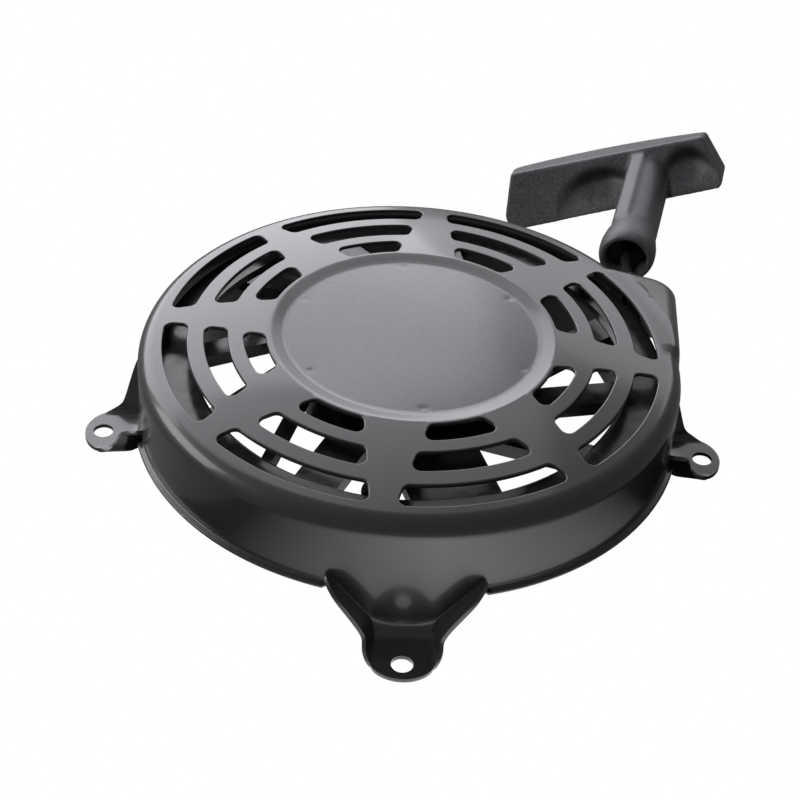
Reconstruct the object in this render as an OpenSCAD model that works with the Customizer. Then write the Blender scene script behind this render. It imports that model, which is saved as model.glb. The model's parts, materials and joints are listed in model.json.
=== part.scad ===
// Recoil starter for a small flat engine: pressed steel housing, spoked rope pulley,
// spiral rewind spring, swinging pawls and an offset pull grip.
// Millimetres. Origin on the pulley axis in the plane of the four feet, Z up to the pad.

/* [Housing] */
// outside diameter of the round wall
housing_d = 190; // [189:0.5:191]
// sheet thickness of the pressed housing
sheet_t = 1.5; // [1.2:0.1:1.6]
// height of the lower edge of the wall above the feet plane
wall_bottom_z = 17.3; // [16.8:0.1:17.8]
// radius of the shallow pressed pad in the middle
pad_r = 45; // [44:0.5:46]
// depth of the pressed pad below the plate around it
pad_depth = 0.8; // [0.6:0.1:1.0]
// rounding of the slot corners
slot_corner_r = 2.6; // [2.2:0.1:2.8]
// turn of the slot pattern away from the feet, degrees
slot_turn = 16.7; // [15:0.1:18]

/* [Feet] */
// distance of the bolt holes from the axis
foot_hole_r = 109.5; // [109:0.5:110]
// radius of each bolt hole
bolt_hole_r = 3.6; // [3.4:0.1:3.8]
// radius of the rounded foot end
foot_end_r = 12.2; // [12:0.1:12.4]

/* [Rope and pulley] */
// radius of the pull rope
rope_r = 1.95; // [1.9:0.05:2]
// radius at which the rope leaves the pulley
rope_run_r = 83.3; // [83.3:0.05:83.4]
// height of the rope groove above the feet plane
rope_z = 37.2; // [37:0.1:37.4]
// outside radius of the pulley flanges
flange_r = 89; // [88:0.5:90]
// width of each wide swept spoke
spoke_w = 11; // [9:0.5:12]
// offset of the wide spokes' centre line from the axis
spoke_offset = 27; // [26:0.5:28]

/* [Grip] */
// direction of the grip stem, degrees clockwise from the rope run
grip_heading = 13.2; // [12:0.1:14]
// roll of the grip about its stem, degrees
grip_roll = 22.1; // [20:0.1:24]
// length of the long arm of the grip from the stem axis
arm_long = 57; // [55:0.5:58]
// length of the short arm of the grip from the stem axis
arm_short = 27; // [26:0.5:28]

/* [Hidden] */
$fn = 96;
eps = 0.01;
wall_r = housing_d / 2;
rim_r = 7;
rim_x = wall_r - rim_r;
rim_z = 40.8;
plate_z = 48.2;
pad_step_w = 5;
lip_w = 2;
groups = 8;
feet = 4;
// slot rings: inner and outer radius of each ring of slots
ring_in = [51, 64, 78.1];
ring_out = [58.6, 72.1, 86.45];
// the two ends of every slot group lie on lines that meet at this point
wedge_x = 36.1;
wedge_half = 32.7;
arc_steps = 12;
corner_steps = 4;
// domed plate: radius and height pairs on the outer surface
dome = [[89.3, 47.67], [82.3, 48.93], [75.1, 50.04], [68, 50.98], [61.3, 51.66], [54.8, 52.2],
        [50, 52.5]];
rim_steps = 8;
rim_end = 79.1;
pad_z = 52.5 - pad_depth;
weld_marks = 6;
weld_r = 42;
// rope outlet pocket
pocket_back_y = 55;
pocket_corner = [90.2, 46];
pocket_corner_r = 9;
pocket_top = 48;
facet_point = [78, 52, 48];
facet_tilt = 14.3;
facet_turn = 23.2;
eyelet_r = 4.6;
// feet
foot_t = 1.6;
foot_centre_r = 104;
// stack of the middle parts
post_r = 7;
bush_r = 9;
bush_gap = 0.05;
tube_r = 13;
drum_in = 35.5;
drum_out = 38;
drum_top = 46;
floor_z = 30;
floor_t = 3;
keeper_z = 45;
boss_r = 25;
boss_z = 21;
tube_z = 17;
retainer_z = 12.2;
retainer_t = 1.2;
retainer_r = 25;
// pulley ring
ring_inner = 75;
skirt_z = 20;
anchor_turn = -99.5;
// directions of the wide swept spokes, then of the narrow ribs
spoke_turns = [-18, 12, 41.5, 71.5, 101.5, 131.5, 161.5];
rib_turns = [231, 255];
root_r = 77.1;
groove_half = 2.3;
flange_t = 2;
// pawls
pawl_at = 18;
pin_r = 2.5;
pawl_z = 14.6;
pawl_t = 5.6;
peg_at = 5;
peg_r = 1.4;
swing = 40;
// grip
mouth_y = 76.2;

// ---------- housing ----------

function along(a, h, r) = -a * cos(h) + sqrt(r * r - a * a * sin(h) * sin(h));
function corner_at(r, c) = let (a = wedge_x + c / sin(wedge_half), s = along(a, wedge_half, r))
    [a + s * cos(wedge_half), s * sin(wedge_half)];
function polar(r, t) = [r * cos(t), r * sin(t)];

module slot_shape(ri, ro, c) {
    po = corner_at(ro - c, c);
    pi = corner_at(ri + c, c);
    ao = atan2(po[1], po[0]);
    ai = atan2(pi[1], pi[0]);
    n = 90 + wedge_half;
    upper = concat(
        [for (k = [0 : corner_steps]) pi + polar(c, ai + 180 + (n - ai - 180) * k / corner_steps)],
        [for (k = [0 : corner_steps]) po + polar(c, n + (ao - n) * k / corner_steps)],
        [for (k = [1 : arc_steps / 2]) polar(ro, ao * (1 - 2 * k / arc_steps))]);
    lower = [for (k = [len(upper) - 2 : -1 : 0]) [upper[k][0], -upper[k][1]]];
    inner = [for (k = [1 : arc_steps - 1]) polar(ri, -ai + 2 * ai * k / arc_steps)];
    polygon(concat(upper, lower, inner));
}

module slots() {
    for (g = [0 : groups - 1], k = [0 : 2])
        rotate([0, 0, slot_turn + g * 360 / groups])
            translate([0, 0, 43])
                linear_extrude(12) slot_shape(ring_in[k], ring_out[k], slot_corner_r);
}

// one side of the pressed sheet, moved inward by d
module shell_profile(d) {
    top = [for (p = dome) [p[0], p[1] - d]];
    rim = [for (k = [0 : rim_steps - 1]) [rim_x, rim_z] + polar(rim_r - d, rim_end * k / rim_steps)];
    polygon(concat([[0, -d], [wall_r - d, -d]], rim, top, [[pad_r, pad_z - d], [0, pad_z - d]]));
}

module facet_below(d) {
    translate(facet_point) rotate([0, facet_tilt, facet_turn])
        translate([-200, -200, -100 - d]) cube([400, 400, 100]);
}

module pocket_plan(d) {
    polygon([[40, d], [wall_r - d, d], [pocket_corner[0] + pocket_corner_r - d, pocket_corner[1]],
             [pocket_corner[0], pocket_back_y - d], [40, pocket_back_y - d]]);
    translate(pocket_corner) circle(pocket_corner_r - d);
}

// keeps what lies below a 45 degree plane through a point, facing the given direction
module pocket_chamfer(d, at, turn) {
    translate(at) rotate([0, 0, turn]) rotate([0, 45, 0])
        translate([-200, -200, -150 - d]) cube([400, 400, 150]);
}

module pocket(d) {
    intersection() {
        translate([0, 0, -1]) linear_extrude(pocket_top + 1 - d) pocket_plan(d);
        facet_below(d);
        pocket_chamfer(d, [wall_r, 0, 44.9], -5.3);
        pocket_chamfer(d, [90, pocket_back_y, 44.9], 90);
    }
}

module shell_outer() {
    rotate_extrude() shell_profile(0);
    pocket(0);
}

module shell_inner() {
    rotate_extrude() shell_profile(sheet_t);
    pocket(sheet_t);
}

// wall left standing below the rim: everything above the lower edge plus the leg webs
module wall_keep() {
    translate([-150, -150, wall_bottom_z]) cube([300, 300, 60]);
    for (q = [0 : feet - 1]) rotate([0, 0, q * 90])
        translate([80, 0, 0]) rotate([90, 0, 90])
            linear_extrude(40) polygon([[-9.8, 0], [9.8, 0], [9.8, 4.4], [22.4, 18.6], [-22.4, 18.6],
                                        [-9.8, 4.4]]);
}

module lip() {
    rotate_extrude() translate([wall_r - 0.3, wall_bottom_z]) square([lip_w + 0.3, sheet_t]);
}

module foot_plate() {
    linear_extrude(foot_t) difference() {
        union() {
            polygon([[90, -9.8], [foot_centre_r, -9.8], [foot_centre_r, 9.8], [90, 9.8]]);
            translate([foot_centre_r, 0]) circle(foot_end_r);
        }
        translate([foot_hole_r, 0]) circle(bolt_hole_r);
    }
}

// raised side flange of a foot: a ribbon that follows the crease at the edge of the leg
module leg_flange() {
    intersection() {
        translate([85, 0, 0]) rotate([90, 0, 90]) linear_extrude(30)
            polygon([[9, 0], [9, 4.6], [24.8, 22.4], [25.9, 21.4], [10.5, 4], [10.5, 0]]);
        rotate([90, 0, 0]) translate([0, 0, -40]) linear_extrude(80)
            polygon([[88, 0], [110.2, 0], [110.2, 1.6], [105.6, 4], [103.8, 5.9], [102.6, 9.2],
                     [100.6, 15.3], [98.7, 20], [97.4, 22.4], [88, 22.4]]);
    }
}

module leg() {
    foot_plate();
    leg_flange();
    mirror([0, 1, 0]) leg_flange();
}

module weld_dimples() {
    for (k = [0 : weld_marks - 1]) rotate([0, 0, 35 + k * 60])
        translate([weld_r, 0, pad_z + 3.75]) sphere(4);
}

module housing() {
    color("dimgray") difference() {
        union() {
            intersection() {
                shell_outer();
                wall_keep();
            }
            difference() {
                lip();
                translate([60, 0, 10]) cube([60, 52, 20]);
            }
            for (q = [0 : feet - 1]) rotate([0, 0, q * 90]) leg();
        }
        shell_inner();
        slots();
        weld_dimples();
        translate([rope_run_r, 48, rope_z]) rotate([-90, 0, 0]) cylinder(h = 10, r = eyelet_r);
    }
}

// ---------- middle of the housing ----------

module center_plate() {
    color("gray") difference() {
        translate([0, 0, pad_z - sheet_t - 1.5]) cylinder(h = 1.5, r = 43);
        translate([0, 0, 40]) cylinder(h = 20, r = 4);
    }
}

module center_post() {
    top = pad_z - sheet_t - 1.5;
    color("silver") difference() {
        union() {
            translate([0, 0, 13.6]) cylinder(h = top - 13.6, r = post_r);
            translate([0, 0, 46.9]) cylinder(h = top - 46.9, r = 13);
            translate([0, 0, top]) cylinder(h = 1.5, r = 4);
        }
        translate([0, 0, 10]) cylinder(h = 24, r = 3.15);
    }
}

module thrust_washer() {
    color("white") translate([0, 0, 46.2]) difference() {
        cylinder(h = 0.6, r = 12.4);
        translate([0, 0, -1]) cylinder(h = 3, r = post_r + 0.3);
    }
}

module rope_guide() {
    color("silver") translate([rope_run_r, 0, rope_z]) rotate([-90, 0, 0]) rotate_extrude()
        polygon([[2.7, 51.5], [3.7, 49.5], [eyelet_r, 49.5], [eyelet_r, 55], [5.5, 55],
                 [5.5, 57], [4.9, 60], [4.3, 60.6], [3.6, 60.2], [2.7, 57.5]]);
}

module retainer_screw() {
    color("silver") union() {
        translate([0, 0, 6.6]) cylinder(h = 4.2, r = 5.8, $fn = 6);
        translate([0, 0, 10.7]) cylinder(h = 22, r = 3.15);
    }
}

module screw_washer() {
    color("gainsboro") translate([0, 0, 10.8]) difference() {
        cylinder(h = 1.2, r = 9);
        translate([0, 0, -1]) cylinder(h = 4, r = 3.25);
    }
}

// ---------- pulley and spring ----------

spring_turns = 9;
spring_steps = 20;
spring_start = 14.4;
spring_pitch = 2.1;
spring_t = 0.5;
function spiral(k, side) = polar(spring_start + spring_pitch * k / spring_steps + side * spring_t / 2,
                                 360 * k / spring_steps);

module recoil_spring() {
    last = spring_turns * spring_steps;
    color("steelblue") translate([0, 0, 34]) linear_extrude(10)
        polygon(concat([for (k = [0 : last]) spiral(k, 1)], [for (k = [last : -1 : 0]) spiral(k, -1)]));
}

module spring_keeper() {
    color("silver") translate([0, 0, keeper_z]) difference() {
        cylinder(h = 0.8, r = 36.6);
        translate([0, 0, -1]) cylinder(h = 3, r = tube_r);
    }
}

module ring_body() {
    low = rope_z - groove_half - flange_t;
    rotate_extrude() polygon([[ring_inner, skirt_z], [root_r, skirt_z], [root_r, low],
        [flange_r, low], [flange_r, low + flange_t],
        [root_r, low + flange_t], [root_r, rope_z + groove_half], [flange_r, rope_z + groove_half],
        [flange_r, rope_z + groove_half + 1.2], [flange_r - 1.5, rope_z + groove_half + flange_t],
        [ring_inner + 1.5, rope_z + groove_half + flange_t], [ring_inner, rope_z + groove_half + 0.9]]);
}

module spoke(offset, w, z, h) {
    translate([0, -offset - w / 2, z]) cube([76, w, h]);
}

module spokes() {
    intersection() {
        union() {
            for (a = spoke_turns) rotate([0, 0, a]) spoke(spoke_offset, spoke_w, 35, 5.1);
            for (a = rib_turns) rotate([0, 0, a]) spoke(30, 4, 34.6, 5.6);
            rotate([0, 0, 206]) spoke(32, 8, 35, 5.1);
            rotate([0, 0, 246]) spoke(0, 15, 35, 5.1);
            rotate([0, 0, 288]) spoke(7.5, 30, 35.4, 4.1);
        }
        translate([0, 0, 30]) difference() {
            cylinder(h = 20, r = ring_inner + 1);
            translate([0, 0, -1]) cylinder(h = 30, r = drum_out - 1);
        }
    }
}

module hub() {
    rotate_extrude() polygon([[bush_r, tube_z], [tube_r, tube_z], [tube_r, boss_z], [boss_r, boss_z],
        [boss_r, 27], [drum_in, 27], [drum_in, 24], [drum_out, 24], [drum_out, drum_top],
        [36.8, drum_top], [36.8, keeper_z], [drum_in, keeper_z], [drum_in, floor_z + floor_t],
        [tube_r, floor_z + floor_t], [tube_r, drum_top - 0.2], [bush_r, drum_top - 0.2]]);
}

module pawl_places() {
    for (k = [0, 1]) rotate([0, 0, k * 180]) translate([pawl_at, 0, 0]) children();
}

module pulley() {
    color("black") difference() {
        union() {
            ring_body();
            spokes();
            hub();
        }
        pawl_places() {
            translate([0, 0, boss_z - 1]) cylinder(h = 3.4, r = 4);
            translate([0, 0, boss_z - 1]) cylinder(h = 7, r = pin_r);
        }
        rotate([0, 0, anchor_turn]) translate([ring_inner - 2, 0, rope_z]) rotate([0, 90, 0])
            cylinder(h = 6, r = rope_r + 0.1);
    }
}

module pulley_bushing() {
    color("goldenrod") translate([0, 0, tube_z]) difference() {
        cylinder(h = drum_top - 0.2 - tube_z, r = bush_r);
        translate([0, 0, -1]) cylinder(h = 40, r = post_r + bush_gap);
    }
}

module rope_winding() {
    color("dimgray") union() {
        translate([0, 0, rope_z]) rotate_extrude() translate([root_r + rope_r + 0.1, 0]) circle(rope_r);
        translate([0, 0, rope_z]) rotate([0, 0, 52]) rotate_extrude(angle = 307.6)
            translate([rope_run_r, 0]) circle(rope_r);
        rotate([0, 0, 54]) translate([root_r + 2, 0, rope_z]) rotate([0, 90, 0])
            cylinder(h = rope_run_r - root_r - 2, r = rope_r - 0.2);
        rotate([0, 0, anchor_turn]) translate([72, 0, rope_z]) rotate([0, 90, 0])
            cylinder(h = root_r + 1.6 - 72, r = rope_r - 0.05);
    }
}

module rope_knot_pulley() {
    color("dimgray") rotate([0, 0, anchor_turn]) translate([69, 0, rope_z]) intersection() {
        sphere(4.2);
        translate([-8, -8, -8]) cube([10.9, 16, 16]);
    }
}

module pawl_pin(k) {
    color("silver") rotate([0, 0, k * 180]) translate([pawl_at, 0, retainer_z + retainer_t + 0.4])
        cylinder(h = boss_z + 6 - retainer_z - retainer_t - 0.4, r = pin_r);
}

module pawl_spring(k) {
    color("steelblue") rotate([0, 0, k * 180]) translate([pawl_at, 0, 0]) union() {
        for (z = [21.6, 22.2, 22.8]) translate([0, 0, z]) rotate_extrude() translate([3.1, 0]) circle(0.35);
        translate([3.1, 0, 21.6]) rotate([-90, 0, 0]) cylinder(h = 2.2, r = 0.3);
    }
}

module brake_spring() {
    color("steelblue") union() {
        for (z = [14.3, 15.3, 16.3]) translate([0, 0, z]) rotate_extrude() translate([10, 0]) circle(0.6);
    }
}

// path of the pawl peg seen from the retainer
peg_steps = 8;
function peg_place(t) = let (a = 90 - t, q = [pawl_at + peg_at * cos(a), peg_at * sin(a)])
    [q[0] * cos(t) + q[1] * sin(t), q[1] * cos(t) - q[0] * sin(t)];
function unit(v) = v / norm(v);
function peg_side(k) = let (t = swing * k / peg_steps, d = unit(peg_place(t + 0.5) - peg_place(t - 0.5)))
    [-d[1], d[0]];
slot_half = peg_r + 0.4;

module peg_slot() {
    end_0 = atan2(peg_side(0)[1], peg_side(0)[0]);
    end_1 = atan2(peg_side(peg_steps)[1], peg_side(peg_steps)[0]);
    linear_extrude(6) polygon(concat(
        [for (k = [0 : peg_steps]) peg_place(swing * k / peg_steps) + slot_half * peg_side(k)],
        [for (k = [1 : 7]) peg_place(swing) + polar(slot_half, end_1 - 180 * k / 8)],
        [for (k = [peg_steps : -1 : 0]) peg_place(swing * k / peg_steps) - slot_half * peg_side(k)],
        [for (k = [1 : 7]) peg_place(0) + polar(slot_half, end_0 + 180 - 180 * k / 8)]));
}

module pawl_retainer() {
    color("gray") difference() {
        translate([0, 0, retainer_z]) cylinder(h = retainer_t, r = retainer_r);
        translate([0, 0, 10]) cylinder(h = 6, r = 3.2 + 0.02);
        for (k = [0, 1]) rotate([0, 0, k * 180]) translate([0, 0, 10]) peg_slot();
    }
}

module pawl(k) {
    color("gray") rotate([0, 0, k * 180]) translate([pawl_at, 0, 0]) difference() {
        union() {
            translate([0, 0, pawl_z]) linear_extrude(pawl_t) union() {
                circle(4.2);
                polygon([[-4.2, 0], [-3, 8], [-1.6, 13], [1.6, 15.6], [3.4, 12.6], [3.4, 6], [4.2, 0]]);
            }
            translate([0, peg_at, retainer_z + 0.1]) cylinder(h = 3, r = peg_r);
        }
        translate([0, 0, 10]) cylinder(h = 14, r = pin_r + 0.06);
    }
}

// ---------- rope run and grip ----------

module grip_frame() {
    translate([rope_run_r, mouth_y, rope_z]) rotate([0, 0, -grip_heading]) rotate([0, -grip_roll, 0])
        children();
}

module rope_lead() {
    color("dimgray") union() {
        translate([rope_run_r, 0.4, rope_z]) rotate([-90, 0, 0]) cylinder(h = mouth_y - 0.4, r = rope_r);
        translate([rope_run_r, mouth_y, rope_z]) sphere(rope_r + 0.06);
        grip_frame() rotate([-90, 0, 0]) cylinder(h = 70, r = rope_r);
    }
}

module rope_knot_handle() {
    color("dimgray") grip_frame() rotate([-90, 0, 0]) translate([0, 0, 70])
        rotate_extrude() polygon([[0, 0], [2.9, 0], [4.2, 1.8], [4.4, 3.4], [4, 5.2], [3, 6.8],
                                  [1.6, 7.6], [0, 7.8]]);
}

module handle_insert() {
    color("gainsboro") grip_frame() rotate([-90, 0, 0]) translate([0, 0, 64]) difference() {
        cylinder(h = 5.9, r = 6);
        translate([0, 0, -1]) cylinder(h = 8, r = rope_r + 0.25);
    }
}

bar_half_t = 11;
bar_near = 58.6;
bar_far = 86.5;

module bar_outline() {
    intersection() {
        polygon([[-arm_long - 7.4, 66], [-arm_long - 6.6, 61.5], [-arm_long - 4.4, 57], [0, 54],
                 [arm_short + 1.5, 57], [arm_short + 3.1, 64], [arm_short + 3.1, 90], [-44, 90],
                 [-arm_long + 2, 80.5], [-arm_long - 4, 75], [-arm_long - 7, 70]]);
        translate([-10, bar_far - 150]) circle(150);
    }
}

// slanted near face, sloping top and leaning ends of the grip bar
module bar_body() {
    intersection() {
        translate([0, 0, -bar_half_t]) linear_extrude(24) bar_outline();
        translate([-59, bar_near, -bar_half_t]) rotate([0, 0, 4.1]) rotate([-22, 0, 0])
            translate([-200, 0, -200]) cube([400, 100, 400]);
        translate([0, 69, 11.3]) rotate([-13.8, 0, 0]) translate([-200, -100, -100]) cube([400, 200, 100]);
        translate([0, 40, 0]) rotate([90, 0, 0]) mirror([0, 0, 1]) linear_extrude(60)
            polygon([[-arm_long - 7.6, -7.4], [-arm_long - 4, -bar_half_t - 0.2],
                     [arm_short + 1.2, -bar_half_t - 0.2], [arm_short + 3, -9], [arm_short - 2.8, 13],
                     [-arm_long - 0.2, 13]]);
    }
}

// spindle shaped hollow for the fingers, long in x
module finger_hollow(l) {
    rotate([0, 90, 0]) rotate_extrude() polygon([[0, -l], [4, -0.88 * l], [7.4, -0.6 * l],
        [9.6, -0.22 * l], [9.6, 0.22 * l], [7.4, 0.6 * l], [4, 0.88 * l], [0, l]]);
}

module handle_grip() {
    color("dimgray") grip_frame() difference() {
        union() {
            difference() {
                bar_body();
                translate([-21, 58.6, 1.2]) rotate([0, 0, 4.1]) finger_hollow(17);
                translate([16.5, 61.6, 1.2]) rotate([0, 0, 4.1]) finger_hollow(12.5);
            }
            rotate([-90, 0, 0]) rotate_extrude() polygon([[0, 0], [10.2, 0], [11.1, 3.5],
                [11.1, 8], [10.2, 14], [8, 22], [7.6, 30], [7.6, 74], [0, 74]]);
            translate([0, 18, 0]) rotate([90, 0, 0]) mirror([0, 0, 1]) linear_extrude(58)
                polygon([[-5, 9.3], [0.4, 9.3], [8.3, -3.2], [8.3, -6], [4.6, -9], [-4.6, -9],
                         [-8.3, -5], [-8.3, 3.6]]);
        }
        rotate([-90, 0, 0]) translate([0, 0, -1]) cylinder(h = 13, r = 8.1);
        rotate([-90, 0, 0]) translate([0, 0, 10]) cylinder(h = 60, r = 3.2);
        rotate([-90, 0, 0]) translate([0, 0, 64]) cylinder(h = 40, r = 6);
    }
}

housing();
center_plate();
center_post();
rope_guide();
thrust_washer();
retainer_screw();
screw_washer();
recoil_spring();
spring_keeper();
pulley();
pulley_bushing();
rope_winding();
rope_knot_pulley();
pawl_pin(0);  // pawl_pin_1
pawl_pin(1);  // pawl_pin_2
pawl_spring(0);  // pawl_spring_1
pawl_spring(1);  // pawl_spring_2
brake_spring();
pawl_retainer();
pawl(0);  // pawl_1
pawl(1);  // pawl_2
rope_lead();
handle_grip();
handle_insert();
rope_knot_handle();
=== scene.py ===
import json
import math
import bmesh
import bpy
from mathutils import Matrix, Vector
from mathutils.geometry import delaunay_2d_cdt


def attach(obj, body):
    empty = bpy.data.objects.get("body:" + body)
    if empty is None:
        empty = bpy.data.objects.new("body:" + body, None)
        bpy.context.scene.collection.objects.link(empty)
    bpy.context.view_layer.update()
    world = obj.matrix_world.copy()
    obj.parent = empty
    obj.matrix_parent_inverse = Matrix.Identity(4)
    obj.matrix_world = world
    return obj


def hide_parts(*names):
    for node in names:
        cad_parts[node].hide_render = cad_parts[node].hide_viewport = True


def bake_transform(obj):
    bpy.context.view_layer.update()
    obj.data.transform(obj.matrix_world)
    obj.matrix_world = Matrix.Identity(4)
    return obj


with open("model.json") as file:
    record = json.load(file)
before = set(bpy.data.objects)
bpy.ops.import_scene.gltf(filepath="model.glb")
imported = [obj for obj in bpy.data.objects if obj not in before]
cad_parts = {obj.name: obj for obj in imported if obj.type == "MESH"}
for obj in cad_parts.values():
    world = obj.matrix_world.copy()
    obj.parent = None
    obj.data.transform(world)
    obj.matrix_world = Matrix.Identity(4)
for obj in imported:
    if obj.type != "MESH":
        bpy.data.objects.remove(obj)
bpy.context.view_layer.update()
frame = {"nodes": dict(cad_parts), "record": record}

MM = 0.001
NODES = frame["nodes"]

# ---------- camera ----------

cam_data = bpy.data.cameras.new("camera")
cam = bpy.data.objects.new("camera", cam_data)
bpy.context.scene.collection.objects.link(cam)
bpy.context.scene.camera = cam
right = Vector((0.9980, -0.0023, 0.0626)).normalized()
forward = Vector((0.0404, 0.7886, -0.6136)).normalized()
up = right.cross(forward).normalized()
right = forward.cross(up).normalized()
place = Matrix((right, up, -forward)).transposed().to_4x4()
place.translation = Vector((-18.43, -499.47, 410.96)) * MM
cam.matrix_world = place
cam_data.sensor_width = 36
cam_data.lens = 79.54
cam_data.shift_x = -0.0349
cam_data.shift_y = 0.0013
cam_data.clip_start = 0.02
cam_data.clip_end = 20

# ---------- node helpers ----------


class Nodes:
    """Short helper for building a node material."""

    def __init__(self, name, base, rough, metal=0.0, spec=0.5, coat=0.0, coat_rough=0.1):
        self.mat = bpy.data.materials.new(name)
        self.mat.use_nodes = True
        self.tree = self.mat.node_tree
        self.bsdf = self.tree.nodes["Principled BSDF"]
        self.set("Base Color", (*base, 1))
        self.set("Roughness", rough)
        self.set("Metallic", metal)
        self.set("Specular IOR Level", spec)
        self.set("Coat Weight", coat)
        self.set("Coat Roughness", coat_rough)
        self.set("Sheen Weight", 0.0)
        self.coords = self.tree.nodes.new("ShaderNodeTexCoord").outputs["Object"]

    def set(self, socket, value):
        self.bsdf.inputs[socket].default_value = value

    def add(self, kind, **values):
        node = self.tree.nodes.new(kind)
        for key, value in values.items():
            if key.startswith("_"):
                setattr(node, key[1:], value)
            else:
                node.inputs[key.replace("_", " ")].default_value = value
        return node

    def link(self, a, b):
        self.tree.links.new(a, b)

    def noise(self, scale, detail=3.0, rough=0.5):
        node = self.add("ShaderNodeTexNoise", Scale=scale, Detail=detail, Roughness=rough)
        self.link(self.coords, node.inputs["Vector"])
        return node.outputs["Fac"]

    def remap(self, value, lo, hi, a=0.3, b=0.7):
        node = self.add("ShaderNodeMapRange")
        node.inputs["From Min"].default_value = a
        node.inputs["From Max"].default_value = b
        node.inputs["To Min"].default_value = lo
        node.inputs["To Max"].default_value = hi
        self.link(value, node.inputs["Value"])
        return node.outputs["Result"]

    def mix_color(self, fac, a, b):
        node = self.add("ShaderNodeMix", _data_type="RGBA")
        node.inputs["A"].default_value = (*a, 1)
        node.inputs["B"].default_value = (*b, 1)
        self.link(fac, node.inputs["Factor"])
        return node.outputs["Result"]

    def rough(self, value):
        self.link(value, self.bsdf.inputs["Roughness"])

    def color(self, value):
        self.link(value, self.bsdf.inputs["Base Color"])

    def bump(self, height, strength, distance):
        node = self.add("ShaderNodeBump", Strength=strength, Distance=distance)
        self.link(height, node.inputs["Height"])
        previous = self.bsdf.inputs["Normal"]
        if previous.is_linked:
            self.link(previous.links[0].from_socket, node.inputs["Normal"])
        self.link(node.outputs["Normal"], previous)


def enamel():
    """Black coat on pressed steel, with a matter, finely mottled centre pad."""
    m = Nodes("black_enamel", (0.018, 0.018, 0.02), 0.36, spec=0.5, coat=0.6, coat_rough=0.12)
    split = m.add("ShaderNodeSeparateXYZ")
    m.link(m.coords, split.inputs[0])
    flat = m.add("ShaderNodeCombineXYZ")
    m.link(split.outputs["X"], flat.inputs["X"])
    m.link(split.outputs["Y"], flat.inputs["Y"])
    far = m.add("ShaderNodeVectorMath", _operation="LENGTH")
    m.link(flat.outputs[0], far.inputs[0])
    pad = m.remap(far.outputs["Value"], 1.0, 0.0, 0.0452, 0.0462)
    fine = m.noise(900, 4, 0.6)
    broad = m.noise(22, 3, 0.55)
    grain = m.remap(fine, 0.0, 1.0, 0.35, 0.65)
    speck = m.add("ShaderNodeMath", _operation="MULTIPLY")
    m.link(grain, speck.inputs[0])
    m.link(pad, speck.inputs[1])
    m.color(m.mix_color(speck.outputs[0], (0.018, 0.018, 0.02), (0.03, 0.03, 0.033)))
    base = m.remap(broad, 0.33, 0.4)
    extra = m.add("ShaderNodeMath", _operation="MULTIPLY_ADD")
    m.link(pad, extra.inputs[0])
    extra.inputs[1].default_value = 0.1
    m.link(base, extra.inputs[2])
    m.rough(extra.outputs[0])
    m.bump(speck.outputs[0], 0.25, 0.00004)
    m.bump(fine, 0.06, 0.00003)
    return m.mat


def moulded(name, base, rough, grain, depth, mottle=0.15):
    """Moulded plastic with a fine grain; mottle is how far the grain shifts the colour."""
    m = Nodes(name, base, rough, spec=0.45)
    fine = m.noise(grain, 4, 0.6)
    broad = m.noise(35, 3, 0.5)
    both = m.add("ShaderNodeMath", _operation="MULTIPLY_ADD")
    m.link(broad, both.inputs[0])
    both.inputs[1].default_value = 0.4
    m.link(fine, both.inputs[2])
    low = tuple((1 - mottle) * c for c in base)
    high = tuple((1 + mottle) * c for c in base)
    m.color(m.mix_color(m.remap(both.outputs[0], 0.0, 1.0, 0.5, 0.9), low, high))
    m.rough(m.remap(fine, rough - 0.05, rough + 0.08))
    m.bump(fine, 0.5, depth)
    return m.mat


def plated(name, base, rough):
    m = Nodes(name, base, rough, metal=1.0)
    fine = m.noise(700, 3, 0.6)
    broad = m.noise(60, 3, 0.5)
    m.color(m.mix_color(m.remap(broad, 0.0, 1.0), base, tuple(0.8 * c for c in base)))
    m.rough(m.remap(fine, rough - 0.06, rough + 0.08))
    m.bump(fine, 0.15, 0.00003)
    return m.mat


def braid():
    m = Nodes("braided_cord", (0.01, 0.01, 0.011), 0.8, spec=0.2)
    wave = m.add("ShaderNodeTexWave", _wave_type="BANDS", _bands_direction="DIAGONAL",
                 Scale=420.0, Distortion=2.5)
    m.link(m.coords, wave.inputs["Vector"])
    m.color(m.mix_color(wave.outputs["Fac"], (0.004, 0.004, 0.004), (0.016, 0.016, 0.017)))
    m.bump(wave.outputs["Fac"], 0.8, 0.0004)
    return m.mat


MATERIALS = {
    "black_sheet": enamel(),
    "zinc_steel": plated("zinc_plate", (0.56, 0.56, 0.58), 0.32),
    "bright_steel": plated("bright_plate", (0.7, 0.7, 0.71), 0.14),
    "white_plastic": moulded("white_nylon", (0.6, 0.59, 0.55), 0.45, 600, 0.00003),
    "spring_steel": plated("spring_blue", (0.16, 0.17, 0.2), 0.28),
    "black_plastic": moulded("pulley_plastic", (0.012, 0.012, 0.013), 0.2, 260, 0.00003),
    "bronze": plated("sintered_bronze", (0.55, 0.36, 0.16), 0.42),
    "rope_black": braid(),
    "grip_plastic": moulded("grip_plastic", (0.062, 0.062, 0.067), 0.44, 1000, 0.0002, 0.4),
}

for entry in frame["record"]["subparts"]:
    data = NODES[entry["node"]].data
    data.materials.clear()
    data.materials.append(MATERIALS[entry["material_slot"]])


def soften(node, width, angle=40):
    """Small rounded edges on a CAD node, as a modifier."""
    mod = NODES[node].modifiers.new("edges", "BEVEL")
    mod.width = width * MM
    mod.segments = 2
    mod.limit_method = "ANGLE"
    mod.angle_limit = math.radians(angle)
    mod.harden_normals = True


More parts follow.
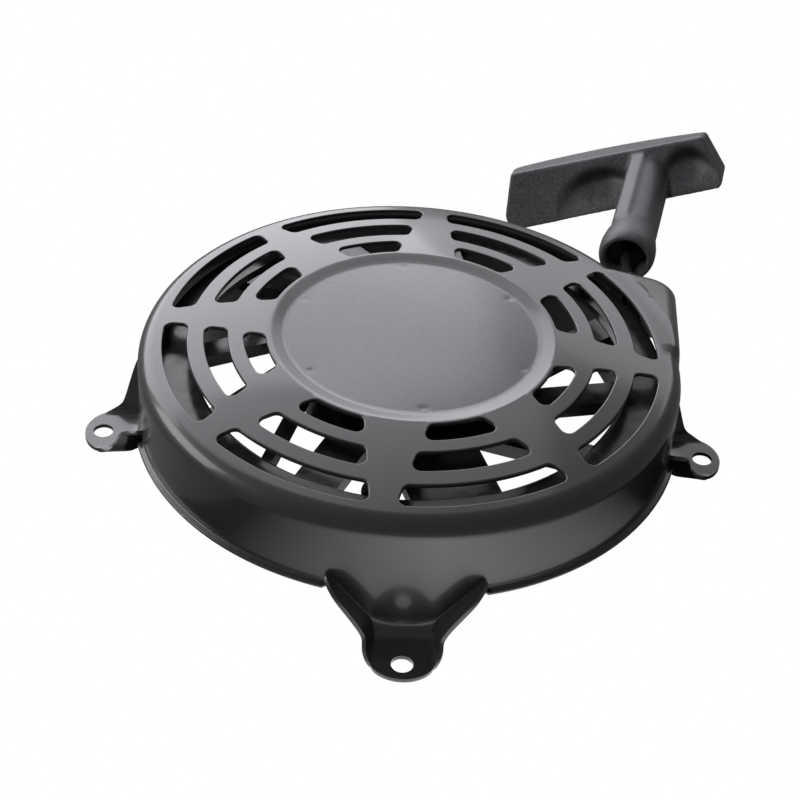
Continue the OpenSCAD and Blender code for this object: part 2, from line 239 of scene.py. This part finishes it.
def mesh_piece(name, verts, faces, body, slot, normals=None):
    data = bpy.data.meshes.new(name)
    data.from_pydata([tuple(c * MM for c in v) for v in verts], [], faces)
    data.validate()
    for p in data.polygons:
        p.use_smooth = True
    if normals is not None:
        data.normals_split_custom_set_from_vertices([tuple(n) for n in normals])
    data.materials.append(MATERIALS[slot])
    piece = bpy.data.objects.new(name, data)
    bpy.context.scene.collection.objects.link(piece)
    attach(piece, body)
    return piece


# ---------- housing shape, millimetres ----------

WALL_R = 95.0
SHEET = 1.5
WALL_BOTTOM = 17.3
RIM_R = 7.0
RIM_X = 88.0
RIM_Z = 40.8
DOME_IN = (50.0, 52.5, -0.0524)
DOME_OUT = (89.3, 47.67, -0.1926)
PAD_R = 45.0
PAD_DEPTH = 0.8
SLOT_TURN = 16.7
RINGS = ((51.0, 58.6), (64.0, 72.1), (78.1, 86.45))
WEDGE_X = 36.1
WEDGE_HALF = math.radians(32.7)
CORNER = 2.6
LIP = 0.5
SWEEP_R = 87.4
POCKET = ((95.0, 0.0), (99.2, 46.0), (90.2, 46.0), 55.0)
POCKET_CORNER_R = 9.0


def soft_ramp(t, blur):
    """0 to 1 ramp with softened ends."""

    def area(x):
        return min(max(x, 0.0), 1.0) ** 2 / 2 + max(x - 1.0, 0.0)

    return (area(t + blur) - area(t - blur)) / (2 * blur)


def dome(r):
    """Height of the domed plate and its rounded rim at radius r."""
    if r >= DOME_OUT[0]:
        return RIM_Z + math.sqrt(max(RIM_R**2 - (r - RIM_X) ** 2, 0.0))
    if r >= DOME_IN[0]:
        span = DOME_OUT[0] - DOME_IN[0]
        t = (r - DOME_IN[0]) / span
        a = (1 + 2 * t) * (1 - t) ** 2 * DOME_IN[1] + t * t * (3 - 2 * t) * DOME_OUT[1]
        return a + span * (t * (1 - t) ** 2 * DOME_IN[2] + t * t * (t - 1) * DOME_OUT[2])
    return DOME_IN[1] + DOME_IN[2] * (r - DOME_IN[0]) * soft_ramp((r - 46.0) / 4.0, 0.2) * 0.5


def polar(r, t):
    return (r * math.cos(t), r * math.sin(t))


WELD_R = 42
WELD_DEPTH = 0.08
WELDS = [polar(WELD_R, math.radians(35 + 60 * k)) for k in range(6)]


def plate_z(x, y):
    """Height of the plate's top face, with the pressed pad and its weld marks."""
    r = math.hypot(x, y)
    z = dome(r) - PAD_DEPTH * (1 - soft_ramp((r - PAD_R) / 4.6, 0.12))
    if r < 46:
        for wx, wy in WELDS:
            d2 = (x - wx) ** 2 + (y - wy) ** 2
            z -= WELD_DEPTH * math.exp(-d2 / 1.8)
    return z


def wedge_corner(r, c):
    """Centre of a slot corner: on radius r, and c inside the line that ends the slot."""
    a = WEDGE_X + c / math.sin(WEDGE_HALF)
    s = -a * math.cos(WEDGE_HALF) + math.sqrt(r * r - (a * math.sin(WEDGE_HALF)) ** 2)
    return (a + s * math.cos(WEDGE_HALF), s * math.sin(WEDGE_HALF))


def slot_loop(ring, group, arc=22, turn=7):
    """Points round one slot, anticlockwise, with the outward direction at each."""
    ri, ro = RINGS[ring]
    c = CORNER
    po, pi = wedge_corner(ro - c, c), wedge_corner(ri + c, c)
    ao, ai = math.atan2(po[1], po[0]), math.atan2(pi[1], pi[0])
    n = math.pi / 2 + WEDGE_HALF
    pts = []
    for k in range(turn + 1):
        t = ao + (n - ao) * k / turn
        pts.append((po[0] + c * math.cos(t), po[1] + c * math.sin(t), t))
    steps = 5
    start = pts[-1]
    t0 = ai + math.pi
    first = (pi[0] + c * math.cos(n), pi[1] + c * math.sin(n), n)
    for k in range(1, steps):
        f = k / steps
        pts.append((start[0] + (first[0] - start[0]) * f, start[1] + (first[1] - start[1]) * f, n))
    for k in range(turn + 1):
        t = n + (t0 - n) * k / turn
        pts.append((pi[0] + c * math.cos(t), pi[1] + c * math.sin(t), t))
    for k in range(1, arc):
        t = ai * (1 - 2 * k / arc)
        pts.append((*polar(ri, t), t + math.pi))
    half = len(pts) - (arc - 1)
    for x, y, t in reversed(pts[:half]):
        pts.append((x, -y, -t))
    for k in range(1, arc):
        t = -ao * (1 - 2 * k / arc)
        pts.append((*polar(ro, t), t))
    g = math.radians(SLOT_TURN + 45 * group)
    out = []
    for x, y, t in pts:
        out.append((x * math.cos(g) - y * math.sin(g), x * math.sin(g) + y * math.cos(g), t + g))
    return out


def outline_r(t):
    """Distance of the wall from the axis in direction t."""
    t = (t + math.pi) % (2 * math.pi) - math.pi
    if t <= 0 or t > math.radians(40):
        return WALL_R
    c, s = math.cos(t), math.sin(t)
    ax, ay = POCKET[0]
    bx, by = POCKET[1]
    nx, ny = by - ay, -(bx - ax)
    k = math.hypot(nx, ny)
    nx, ny = nx / k, ny / k
    wall = (nx * ax + ny * ay) / (nx * c + ny * s)
    back = POCKET[3] / s
    reach = min(wall, back)
    cx, cy = POCKET[2]
    b = cx * c + cy * s
    disc = b * b - (cx * cx + cy * cy - POCKET_CORNER_R**2)
    if disc > 0:
        hit = b + math.sqrt(disc)
        hx, hy = hit * c, hit * s
        if hx > cx and hy > cy:
            reach = min(reach, hit)
        elif min(wall, back) * c > cx + 2 and min(wall, back) * s > cy + 2:
            reach = min(reach, hit)
    return max(WALL_R, reach)


SWEEP = []
step = 0.0
while step < 360 - 1e-6:
    SWEEP.append(math.radians(step))
    step += 0.25 if (step < 39.9 or step > 358) else 1.0
EDGE = [(outline_r(t) * math.cos(t), outline_r(t) * math.sin(t)) for t in SWEEP]
NEAR = [p for p, t in zip(EDGE, SWEEP) if t < math.radians(46) or t > math.radians(352)]
NEAR_SORTED = sorted(NEAR, key=lambda p: math.atan2(p[1], p[0]))
NEAR_A, NEAR_B = NEAR_SORTED[:-1], NEAR_SORTED[1:]


def edge_gap(x, y):
    """Distance from a plan point to the wall line, near the rope pocket."""
    best = 1e9
    for (ax, ay), (bx, by) in zip(NEAR_A, NEAR_B):
        dx, dy = bx - ax, by - ay
        q = max(0.0, min(1.0, ((x - ax) * dx + (y - ay) * dy) / (dx * dx + dy * dy + 1e-12)))
        best = min(best, (x - ax - q * dx) ** 2 + (y - ay - q * dy) ** 2)
    return math.sqrt(best)


def soft_min(a, b, k):
    """The smaller of two values, blended over a span of k."""
    h = max(k - abs(a - b), 0.0) / k
    return min(a, b) - h * h * k / 4


def pocket_z(x, y, gap):
    """Height of the rope pocket's roof: a flat top meeting a facet, rounded down at the wall line."""
    facet = 48 - (140 * (x - 78) + 60 * (y - 52)) / 600
    top = soft_min(48.0, facet, 0.7)
    rho = 4.2
    if gap < rho:
        top -= rho - math.sqrt(max(rho * rho - (rho - gap) ** 2, 0.0))
    return top


def pocket_share(t):
    """How far the rope pocket has taken over from the plain rim in direction t."""
    deg = math.degrees((t + math.pi) % (2 * math.pi) - math.pi)
    front = min(max((deg + 0.5) / 5.0, 0.0), 1.0)
    back = min(max((37.5 - deg) / 3.0, 0.0), 1.0)
    f = min(front, back)
    return f * f * (3 - 2 * f)


def leg_side(x, y):
    """Sideways distance from the middle line of the nearest leg."""
    return min(abs(x), abs(y))


SECTOR = math.radians(45)


def in_group(x, y):
    """A plan point seen from its slot group: its two distances, and how far it is inside the end line."""
    r = math.hypot(x, y)
    a = (math.atan2(y, x) - math.radians(SLOT_TURN) + SECTOR / 2) % SECTOR - SECTOR / 2
    lx, ly = r * math.cos(a), abs(r * math.sin(a))
    return lx, ly, (lx - WEDGE_X) * math.sin(WEDGE_HALF) - ly * math.cos(WEDGE_HALF)


def make_housing():
    verts, faces, normals = [], [], []

    def put(v, n):
        verts.append(v)
        normals.append(n)
        return len(verts) - 1

    def slope(x, y):
        h = 0.05
        dx = (plate_z(x + h, y) - plate_z(x - h, y)) / (2 * h)
        dy = (plate_z(x, y + h) - plate_z(x, y - h)) / (2 * h)
        return Vector((-dx, -dy, 1)).normalized()

    # flat pattern of the plate with its slots
    loops = [slot_loop(k, g) for g in range(8) for k in range(3)]
    pts, edges = [], []

    def ring_of(points):
        base = len(pts)
        pts.extend(points)
        edges.extend((base + i, base + (i + 1) % len(points)) for i in range(len(points)))

    ring_of([polar(SWEEP_R, t) for t in SWEEP])
    for loop in loops:
        ring_of([(x + LIP * math.cos(t), y + LIP * math.sin(t)) for x, y, t in loop])
    holes = [(r0 - 1.4, r1 + 1.4) for r0, r1 in RINGS]

    def blocked(x, y):
        r = math.hypot(x, y)
        side = in_group(x, y)[2]
        return any(a0 < r < a1 for a0, a1 in holes) and side > -1.4

    r = 1.2
    while r < SWEEP_R - 0.6:
        gap = 0.8 if 43.5 < r < 51 else 2.0
        count = max(6, int(2 * math.pi * r / max(gap, 1.6)))
        for i in range(count):
            x, y = polar(r, 2 * math.pi * (i + 0.5 * (int(r * 10) % 2)) / count)
            if not blocked(x, y) and min((x - wx) ** 2 + (y - wy) ** 2 for wx, wy in WELDS) > 6:
                pts.append((x, y))
        r += gap
    for wx, wy in WELDS:
        pts.append((wx, wy))
        for k in range(1, 5):
            for i in range(6 * k):
                t = 2 * math.pi * i / (6 * k)
                pts.append((wx + 0.5 * k * math.cos(t), wy + 0.5 * k * math.sin(t)))
    out = delaunay_2d_cdt([Vector(p) for p in pts], edges, [], 0, 1e-5)
    flat, tris = out[0], out[2]
    tops = [put((p.x, p.y, plate_z(p.x, p.y)), slope(p.x, p.y)) for p in flat]
    unders = [put((p.x, p.y, plate_z(p.x, p.y) - SHEET), -slope(p.x, p.y)) for p in flat]

    def in_slot(x, y):
        r = math.hypot(x, y)
        lx, ly, side = in_group(x, y)
        if side < -LIP:
            return False
        for r0, r1 in RINGS:
            if r0 - LIP < r < r1 + LIP:
                # the rounded corners
                for rc, lo in ((r1 - CORNER, False), (r0 + CORNER, True)):
                    px, py = wedge_corner(rc, CORNER)
                    beyond = (r < rc) if lo else (r > rc)
                    if beyond and side < CORNER and math.atan2(ly, lx) > math.atan2(py, px):
                        if math.hypot(lx - px, ly - py) > CORNER + LIP - 0.02:
                            return False
                return True
        return False

    for a, b, c in tris:
        x = (flat[a].x + flat[b].x + flat[c].x) / 3
        y = (flat[a].y + flat[b].y + flat[c].y) / 3
        if in_slot(x, y) or math.hypot(x, y) > SWEEP_R:
            continue
        faces.append((tops[a], tops[b], tops[c]))
        faces.append((unders[c], unders[b], unders[a]))

    # rolled slot edges
    for loop in loops:
        rows = []
        shape = [(LIP * (1 - math.sin(f)), LIP * (1 - math.cos(f)), f) for f in
                 (0, math.pi / 8, math.pi / 4, 3 * math.pi / 8, math.pi / 2)]
        low = SHEET - 0.2
        shape += [(0.0, low, math.pi / 2), (0.0, low, math.pi / 2), (LIP, SHEET, math.pi)]
        for off, drop, f in shape:
            row = []
            for x, y, t in loop:
                px, py = x + off * math.cos(t), y + off * math.sin(t)
                n = slope(px, py) * math.cos(f) + Vector((-math.cos(t), -math.sin(t), 0)) * math.sin(f)
                row.append(put((px, py, plate_z(px, py) - drop), n.normalized()))
            rows.append(row)
        for row, below in zip(rows, rows[1:]):
            for i in range(len(row)):
                j = (i + 1) % len(row)
                faces.append((row[i], row[j], below[j], below[i]))

    # rim, wall and lip swept round the outline
    def section(t):
        """The wall's distance in direction t, and the top's height profile out to it."""
        edge = outline_r(t)
        share = pocket_share(t)
        c, s = math.cos(t), math.sin(t)
        spread = []
        for k in range(25):
            f = k / 24
            spread.append(SWEEP_R + (edge - SWEEP_R) * math.sin(f * math.pi / 2))
        top = []
        for r in spread:
            plain = dome(min(WALL_R, SWEEP_R + (r - SWEEP_R) * (WALL_R - SWEEP_R) / (edge - SWEEP_R)))
            if share > 0:
                gap = edge_gap(r * c, r * s) if r < edge else 0.0
                raised = max(pocket_z(r * c, r * s, gap), plain if r < WALL_R else -1e9)
                plain += (raised - plain) * share
            top.append((r, plain))
        return edge, top

    grid, inner = [], []
    for t in SWEEP:
        edge, top = section(t)
        c, s = math.cos(t), math.sin(t)
        x, y = edge * c, edge * s
        side = leg_side(x, y)
        in_pocket = 0 < math.degrees(t) < 36
        line = list(top)
        under = [(max(r - SHEET * (r - SWEEP_R) / (edge - SWEEP_R), 0), z - SHEET) for r, z in top]
        on_leg = side < 25.5
        low = WALL_BOTTOM
        if on_leg:
            low = max(2.2, 5.2 + (side - 9.8) / 0.893)
            low = min(low, WALL_BOTTOM)
        lip_w = 0.0 if (on_leg or in_pocket) else 2.0
        z0 = line[-1][1]
        wall_low = low + (1.8 if lip_w else 0.3)
        for k in range(1, 9):
            line.append((edge, z0 + (wall_low + 1.2 - z0) * k / 8))
        if lip_w:
            line += [(edge, wall_low + 0.6), (edge + 0.12, wall_low + 0.1), (edge + 0.5, wall_low - 0.25),
                     (edge + 1.5, wall_low - 0.35), (edge + 1.9, wall_low - 0.6), (edge + 2.0, low + 0.6),
                     (edge + 1.7, low + 0.1), (edge + 1.0, low)]
        else:
            line += [(edge, wall_low + 0.6), (edge, wall_low + 0.1), (edge, wall_low),
                     (edge - 0.05, low + 0.15), (edge - 0.2, low), (edge - 0.4, low),
                     (edge - 0.6, low), (edge - 0.8, low)]
        inside = [(edge - SHEET, low)]
        for k in range(1, 8):
            inside.append((edge - SHEET, low + (z0 - SHEET - low) * k / 7))
        inside += list(reversed(under[:-1]))
        grid.append([(r * c, r * s, z) for r, z in line + inside])

    count = len(grid)
    width = len(grid[0])
    ids = [[put(p, Vector((0, 0, 1))) for p in row] for row in grid]
    for i in range(count):
        j = (i + 1) % count
        for k in range(width - 1):
            faces.append((ids[i][k], ids[i][k + 1], ids[j][k + 1], ids[j][k]))
    for i in range(count):
        a, b = grid[(i - 1) % count], grid[(i + 1) % count]
        for k in range(width):
            p, q = grid[i][max(k - 1, 0)], grid[i][min(k + 1, width - 1)]
            along = Vector(b[k]) - Vector(a[k])
            down = Vector(q) - Vector(p)
            n = down.cross(along)
            normals[ids[i][k]] = n.normalized() if n.length > 1e-9 else Vector((0, 0, 1))
        normals[ids[i][0]] = slope(*grid[i][0][:2])
        normals[ids[i][width - 1]] = -slope(*grid[i][0][:2])
    return mesh_piece("housing_shell", verts, faces, "housing_body", "black_sheet", normals)


shell = make_housing()


# ---------- legs ----------

FOOT_HOLE_R = 109.5
BOLT_R = 3.6
CUTTER_SIDES = 48


def make_leg(index):
    """Pressed leg: web on the wall, side flanges and foot, as one folded sheet."""
    inner = [(24.9, 22.9), (21.4, 19.1), (17.3, 14.5), (13.1, 9.8), (10.4, 6.8), (9.4, 4.2), (9.2, 2.5),
             (9.2, 1.75), (9.1, 1.62), (9.0, 1.6)]
    inner_x = [None, None, None, None, None, 95.9, 97.6, 100.0, 105.0, 109.0]
    outer = [(93.4, 25.6, 23.2), (99.0, 22.4, 20.2), (100.8, 18.0, 15.2), (102.4, 13.8, 10.0),
             (103.4, 11.9, 6.9), (104.4, 11.6, 5.2), (105.6, 11.7, 4.1), (107.0, 11.5, 3.2),
             (108.6, 11.0, 2.3), (110.4, 10.0, 1.65)]
    middle_x = [None, None, None, None, None, 95.7, 97.2, 99.6, 104.0, 108.6]
    rows = []
    for k, (ay, az) in enumerate(inner):
        row = []
        for f in (0, 0.35, 0.7, 0.92):
            y = ay * f
            x = math.sqrt(95.05**2 - y * y) if middle_x[k] is None else middle_x[k]
            row.append((x, y, az))
        x = math.sqrt(95.05**2 - ay * ay) if inner_x[k] is None else inner_x[k]
        row.append((x, ay, az))
        bx, by, bz = outer[k]
        row.append((x + (bx - x) * 0.3, ay + (by - ay) * 0.3, az + (bz - az) * 0.3))
        row.append((x + (bx - x) * 0.75, ay + (by - ay) * 0.75, az + (bz - az) * 0.75))
        row.append((bx, by, bz))
        rows.append(row)
    for scale in (0.55, 1.0):
        row = []
        for angle in (0, 15, 29, 38, 42, 46, 51, 56):
            a = math.radians(angle)
            end = (104 + 12.1 * math.cos(a), 12.1 * math.sin(a), 1.6)
            last = rows[9][len(row)]
            row.append(tuple(last[i] + (end[i] - last[i]) * scale for i in range(3)))
        rows.append(row)
    verts, faces = [], []
    width = 15
    for row in rows:
        full = [(x, -y, z) for x, y, z in reversed(row[1:])] + row
        verts += full
    for i in range(len(rows) - 1):
        for k in range(width - 1):
            a = i * width + k
            faces.append((a, a + width, a + width + 1, a + 1))
    a = math.radians(90 * index)
    turned = [(x * math.cos(a) - y * math.sin(a), x * math.sin(a) + y * math.cos(a), z) for x, y, z in verts]
    leg = mesh_piece("leg_%d" % (index + 1), turned, faces, "housing_body", "black_sheet")
    fold = leg.data.attributes.new("crease_edge", "FLOAT", "EDGE")
    for e in leg.data.edges:
        p, q = e.vertices
        cols = (p % width, q % width)
        if cols[0] == cols[1] and cols[0] in (3, 11):
            fold.data[e.index].value = 0.55
    sub = leg.modifiers.new("smooth", "SUBSURF")
    sub.levels = sub.render_levels = 3
    thick = leg.modifiers.new("sheet", "SOLIDIFY")
    thick.thickness = 1.45 * MM
    thick.offset = -1
    hole = leg.modifiers.new("hole", "BOOLEAN")
    hole.operation = "DIFFERENCE"
    hole.solver = "EXACT"
    hole.object = bolt_cutter(index)
    edge = leg.modifiers.new("edges", "BEVEL")
    edge.width = 0.3 * MM
    edge.segments = 2
    edge.limit_method = "ANGLE"
    edge.angle_limit = math.radians(50)
    edge.harden_normals = False
    return leg


def bolt_cutter(index):
    """A round bar standing where the foot's bolt hole is cut."""
    a = math.radians(90 * index)
    verts, faces = [], []
    for z in (-5, 8):
        for k in range(CUTTER_SIDES):
            t = 2 * math.pi * k / CUTTER_SIDES
            x, y = FOOT_HOLE_R + BOLT_R * math.cos(t), BOLT_R * math.sin(t)
            across = (x * math.cos(a) - y * math.sin(a)) * MM
            along = (x * math.sin(a) + y * math.cos(a)) * MM
            verts.append((across, along, z * MM))
    for k in range(CUTTER_SIDES):
        j = (k + 1) % CUTTER_SIDES
        faces.append((k, j, CUTTER_SIDES + j, CUTTER_SIDES + k))
    faces.append(tuple(reversed(range(CUTTER_SIDES))))
    faces.append(tuple(range(CUTTER_SIDES, 2 * CUTTER_SIDES)))
    data = bpy.data.meshes.new("cutter_%d" % index)
    data.from_pydata(verts, [], faces)
    obj = bpy.data.objects.new("cutter_%d" % index, data)
    bpy.context.scene.collection.objects.link(obj)
    obj.hide_render = True
    return obj


def bake_modifiers(obj):
    """Fixes an object's modifiers into its mesh."""
    graph = bpy.context.evaluated_depsgraph_get()
    data = bpy.data.meshes.new_from_object(obj.evaluated_get(graph))
    obj.modifiers.clear()
    obj.data = data


legs = [make_leg(k) for k in range(4)]
bpy.context.view_layer.update()
for leg in legs:
    cutter = leg.modifiers["hole"].object
    bake_modifiers(leg)
    bpy.data.objects.remove(cutter)
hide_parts("housing")


# ---------- grip ----------

ROPE_R = 1.95
ROPE_X = 83.3
ROPE_Z = 37.2
GUIDE_Y = 60.6
MOUTH_Y = 76.2
GRIP_WAY = Vector((0.2284, 0.9736, 0))

# finger hollows of the bar: middle, half length, height of the brow over them, depth
HOLLOWS = ((-21.0, 20.0, 8.5, 6.0), (16.5, 13.5, 9.5, 5.5))


def smooth_step(t):
    t = min(max(t, 0.0), 1.0)
    return t * t * (3 - 2 * t)


def hollow_depth(x, z):
    """How far the near face of the bar is pressed in: steep under a curved brow, easing out below."""
    for middle, half, top, depth in HOLLOWS:
        u = (x - middle) / half
        if abs(u) < 1:
            brow = top - 9 * u * u
            under = brow - z
            ease = 1 - smooth_step((under - 7) / max(brow + 6, 5))
            return depth * smooth_step(under / 8.5) * ease * (1 - u * u)
    return 0.0


def deepen_hollows(data):
    """Presses the finger hollows further into the near face of the grip bar."""
    across = Vector((0.902, -0.2116, 0.3763))
    upward = Vector((-0.3663, 0.0859, 0.9265))
    mouth = Vector((ROPE_X, MOUTH_Y, ROPE_Z))
    for v in data.vertices:
        p = v.co / MM - mouth
        x, y, z = p.dot(across), p.dot(GRIP_WAY), p.dot(upward)
        if y < 45 or abs(x) < 3:
            continue
        face = 58.6 + 0.072 * (x + 59) + 0.404 * (z + 11)
        near = smooth_step(1 - (y - face - 3) / 10)
        v.co += GRIP_WAY * (hollow_depth(x, z) * near * MM)


def make_grip():
    """The grip: the CAD solid with every edge rounded as a moulding has."""
    source = NODES["handle_grip"]
    data = source.data.copy()
    grip = bpy.data.objects.new("pull_grip", data)
    bpy.context.scene.collection.objects.link(grip)
    weld = grip.modifiers.new("weld", "WELD")
    weld.merge_threshold = 0.01 * MM
    remesh = grip.modifiers.new("remesh", "REMESH")
    remesh.mode = "VOXEL"
    remesh.voxel_size = 0.45 * MM
    smooth = grip.modifiers.new("smooth", "SMOOTH")
    smooth.factor = 0.5
    smooth.iterations = 44
    bpy.context.view_layer.update()
    bake_modifiers(grip)
    deepen_hollows(grip.data)
    for p in grip.data.polygons:
        p.use_smooth = True
    grip.data.materials.clear()
    grip.data.materials.append(MATERIALS["grip_plastic"])
    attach(grip, "grip_body")
    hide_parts("handle_grip")
    return grip


grip = make_grip()


# ---------- rope run ----------


def rope_path():
    """Middle line of the rope from the pulley through the guide into the grip."""
    start = Vector((ROPE_X, 0.6, ROPE_Z))
    bend = Vector((ROPE_X, MOUTH_Y, ROPE_Z))
    pts = [start + Vector((0, 10 * k, 0)) for k in range(6)]
    steps = 48
    for k in range(steps + 1):
        pts.append(Vector((ROPE_X, GUIDE_Y - 4 + (MOUTH_Y - GUIDE_Y + 2) * k / steps, ROPE_Z)))
    for k in range(1, 5):
        f = k / 4
        pts.append(bend + Vector((0, -2 * (1 - f) ** 2, 0)) + GRIP_WAY * 4 * f * f)
    for k in range(1, 9):
        pts.append(bend + GRIP_WAY * (4 + 8.2 * k))
    return pts


def make_rope(sides=14):
    """The rope from the pulley to the grip."""
    pts = rope_path()
    verts, faces = [], []
    for i, p in enumerate(pts):
        way = (pts[min(i + 1, len(pts) - 1)] - pts[max(i - 1, 0)]).normalized()
        a = way.cross(Vector((0, 0, 1))).normalized()
        b = way.cross(a)
        for k in range(sides):
            t = 2 * math.pi * k / sides
            verts.append(p + (a * math.cos(t) + b * math.sin(t)) * ROPE_R)
    for i in range(len(pts) - 1):
        for k in range(sides):
            j = (k + 1) % sides
            row = i * sides
            faces.append((row + k, row + j, row + sides + j, row + sides + k))
    faces.append(tuple(reversed(range(sides))))
    faces.append(tuple(len(verts) - sides + k for k in range(sides)))
    data = bpy.data.meshes.new("rope_run")
    data.from_pydata([v * MM for v in verts], [], faces)
    for p in data.polygons:
        p.use_smooth = len(p.vertices) == 4
    check = bmesh.new()
    check.from_mesh(data)
    bmesh.ops.recalc_face_normals(check, faces=check.faces)
    check.to_mesh(data)
    check.free()
    data.materials.append(MATERIALS["rope_black"])
    rope = bpy.data.objects.new("rope_run", data)
    bpy.context.scene.collection.objects.link(rope)
    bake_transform(rope)
    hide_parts("rope_lead")


make_rope()

soften("pulley", 0.5)
for name in ("rope_guide", "pawl_retainer", "pawl_1", "pawl_2", "screw_washer", "retainer_screw"):
    soften(name, 0.15)


# ---------- floor and light ----------


def plane(name, size, z):
    data = bpy.data.meshes.new(name)
    h = size / 2
    data.from_pydata([(-h, -h, z), (h, -h, z), (h, h, z), (-h, h, z)], [], [(0, 1, 2, 3)])
    obj = bpy.data.objects.new(name, data)
    bpy.context.scene.collection.objects.link(obj)
    return obj


floor = plane("floor", 30.0, -0.0006)
paper = bpy.data.materials.new("paper")
paper.use_nodes = True
tree = paper.node_tree
glow = tree.nodes.new("ShaderNodeEmission")
glow.inputs["Color"].default_value = (1, 1, 1, 1)
glow.inputs["Strength"].default_value = 1.0
tree.links.new(glow.outputs[0], tree.nodes["Material Output"].inputs["Surface"])
floor.data.materials.append(paper)
floor.visible_diffuse = False
floor.visible_glossy = False

world = bpy.data.worlds.new("studio")
bpy.context.scene.world = world
world.use_nodes = True
world.node_tree.nodes["Background"].inputs["Color"].default_value = (1, 1, 1, 1)
world.node_tree.nodes["Background"].inputs["Strength"].default_value = 0.17


def softbox(name, where, aim, size, power, tint=(0.95, 0.965, 1.0)):
    data = bpy.data.lights.new(name, "AREA")
    data.shape = "RECTANGLE"
    data.color = tint
    data.size, data.size_y = size
    data.energy = power
    obj = bpy.data.objects.new(name, data)
    bpy.context.scene.collection.objects.link(obj)
    obj.location = where
    obj.rotation_euler = (Vector(aim) - Vector(where)).to_track_quat("-Z", "Y").to_euler()
    return obj


softbox("back_light", (-0.75, 1.3, 0.74), (0, 0, 0.03), (1.9, 1.15), 24)
softbox("side_light", (0.55, 1.3, 0.7), (0, 0, 0.03), (1.2, 0.6), 4)
softbox("sky_light", (-0.25, 0.8, 1.3), (0, 0, 0), (1.4, 0.6), 3)
softbox("left_light", (-1.35, 0.1, 0.5), (0, 0, 0.03), (0.9, 0.7), 8, (1.0, 0.985, 0.96))
fill = softbox("fill_light", (-0.75, -0.5, 1.6), (0, 0.05, 0.03), (0.5, 0.5), 15)
fill.visible_glossy = False

glint = plane("front_card", 2.0, 0)
glint.scale = (0.125, 0.17, 1)
glint.location = (0.025, -0.165, -0.0004)
card = bpy.data.materials.new("card")
card.use_nodes = True
nodes = card.node_tree.nodes
shine = nodes.new("ShaderNodeEmission")
fade = nodes.new("ShaderNodeTexGradient")
fade.gradient_type = "SPHERICAL"
where = nodes.new("ShaderNodeTexCoord")
level = nodes.new("ShaderNodeMath")
level.operation = "MULTIPLY"
level.inputs[1].default_value = 2.3
card.node_tree.links.new(where.outputs["Object"], fade.inputs["Vector"])
card.node_tree.links.new(fade.outputs["Fac"], level.inputs[0])
card.node_tree.links.new(level.outputs[0], shine.inputs["Strength"])
card.node_tree.links.new(shine.outputs[0], nodes["Material Output"].inputs["Surface"])
glint.data.materials.append(card)
glint.visible_camera = False
glint.visible_diffuse = False
glint.visible_shadow = False

bpy.context.scene.view_settings.view_transform = "Standard"
